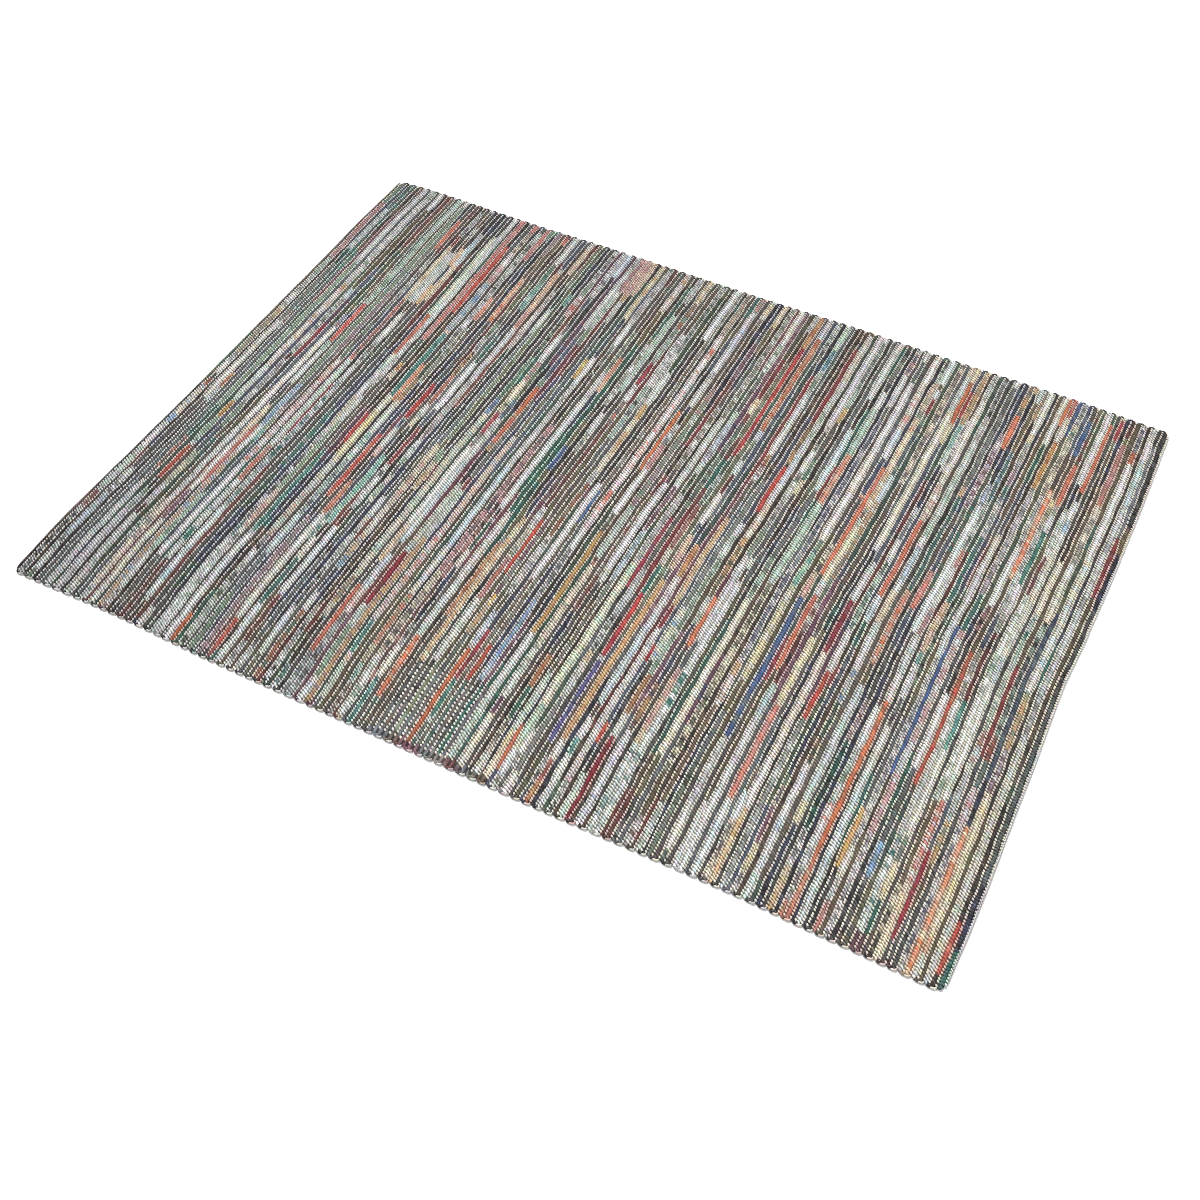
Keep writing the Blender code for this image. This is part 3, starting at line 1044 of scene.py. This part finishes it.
def yarn_material():
    """Hemp yarn: pale, with slanting plies, a dry, uneven surface, and painted shade towards each dot's
    foot and under each turn.
    """
    nodes = Nodes("hemp_yarn")
    plies = nodes.wave(YARN_PLIES, "DIAGONAL", 1.5)
    fibres = nodes.noise(YARN_FIBRES, 3.0)
    tone = nodes.math("ADD", nodes.plus(nodes.math("MULTIPLY", plies, 0.10), fibres, 0.2), 0.84)
    # Painted shade towards each dot's foot and under each turn of yarn
    foot = nodes.between(nodes.attribute("crown"), 0.0, 0.45, PAINTED_FOOT_LIGHT, 1.0)
    colour = nodes.times(nodes.attribute("rag", "Color"), nodes.math("MULTIPLY", tone, foot))
    roughness = nodes.between(fibres, *GRAIN, *YARN_ROUGHNESS)
    return nodes.finish(colour, nodes.math("ADD", plies, fibres), YARN_BUMP, roughness)


def ground_material():
    """Dark warp threads, side by side along the cloth, with the rags' colour in painted shade between
    them.
    """
    nodes = Nodes("dark_warp")
    threads = nodes.wave(WARP_THREADS, "Y")
    fibres = nodes.noise(WARP_FIBRES, 3.0)
    tone = nodes.math("ADD", nodes.math("MULTIPLY", fibres, 0.8), 0.6)
    colour = nodes.times(nodes.attribute("rag", "Color"), tone)
    roughness = nodes.between(fibres, *GRAIN, *WARP_ROUGHNESS)
    return nodes.finish(colour, nodes.plus(threads, fibres, 0.4), WARP_BUMP, roughness)


def under_material():
    """The rags and dots as the underside shows them, in colour and bump alone, with painted shade in the
    rags' pinches.
    """
    nodes = Nodes("rug_underside")
    lump = nodes.wave(UNDER_LUMPS, "Y")
    crown = nodes.attribute("crown")
    folds = nodes.noise(RAG_FOLDS, 2.0, RAG_STREAKS)
    # Painted shade in the pinches between the underside's lumps
    pinch = nodes.between(lump, 0.1, 0.5, 0.3, 1.0)
    tone = nodes.math("MULTIPLY", pinch, nodes.between(folds, *GRAIN, 0.6, 1.1))
    rag = nodes.times(nodes.attribute("rag", "Color"), tone)
    yarn = nodes.mix(nodes.between(lump, 0.35, 0.6), four(YARN_COLOURS[0]), four(WARP_COLOUR))
    colour = nodes.mix(nodes.between(crown, 0.30, 0.40), yarn, rag)
    height = nodes.plus(nodes.math("MULTIPLY", lump, crown), folds, 0.3)
    return nodes.finish(colour, height, UNDER_BUMP, nodes.between(folds, *GRAIN, *RAG_ROUGHNESS))


def floor_material():
    nodes = Nodes("pale_floor")
    grain = nodes.noise(FLOOR_GRAIN, 3.0)
    colour = nodes.mix(nodes.between(grain, 0.2, 0.8), *(four(colour) for colour in FLOOR_COLOURS))
    roughness = nodes.between(grain, 0.2, 0.8, *FLOOR_ROUGHNESS)
    return nodes.finish(colour, grain, FLOOR_BUMP, roughness)


def floor():
    bpy.ops.mesh.primitive_plane_add(size=FLOOR_SIZE)
    made = bpy.context.object
    made.name = "floor"
    made.data.materials.append(floor_material())
    return made


def studio():
    """Soft light from all round, and more from above on the left, even over the whole rug."""
    scene = bpy.context.scene
    scene.world = bpy.data.worlds.new("studio")
    scene.world.use_nodes = True
    background = scene.world.node_tree.nodes["Background"]
    background.inputs["Color"].default_value = (1, 1, 1, 1)
    background.inputs["Strength"].default_value = WORLD_STRENGTH
    sun = bpy.data.lights.new("key", "SUN")
    sun.angle = KEY_SOFTNESS
    sun.energy = KEY_STRENGTH
    key = linked("key", sun)
    key.location = KEY_PLACE
    key.rotation_euler = key.location.to_track_quat("Z", "Y").to_euler()
    scene.view_settings.view_transform = "Standard"
    scene.cycles.filter_width = FILTER_WIDTH
    scene.cycles.use_denoising = False


def camera():
    data = bpy.data.cameras.new("camera")
    data.lens = CAMERA_LENS
    made = linked("camera", data)
    made.location = (CAMERA_PLACE[0] - MIDDLE[0], CAMERA_PLACE[1] - MIDDLE[1], CAMERA_PLACE[2])
    made.rotation_euler = [math.radians(angle) for angle in CAMERA_TURN]
    bpy.context.scene.camera = made


def main():
    weave = Weave()
    rag, yarn = rag_material(), yarn_material()
    points, pinched = ribbon_points(weave)
    colours = ribbon_colours(weave)
    made = []
    for number, rows in enumerate(np.array_split(np.arange(RAG_ROWS), BAND_COUNT)):
        parts = [ribbons(points, pinched, colours, rows), dots(weave, rows)]
        made.append(piece(f"weave_{number:02d}", parts, [rag, yarn]))
    parts = selvedges(weave) + end_rags(weave) + end_cords() + warp_loops(weave)
    made.append(piece("selvedges_and_ends", parts, [rag, yarn]))
    base = ground(weave, [ground_material(), under_material()])
    for one in (*made, base):
        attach(one, BODY)
        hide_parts(CLOTH)
    floor()
    studio()
    camera()


main()
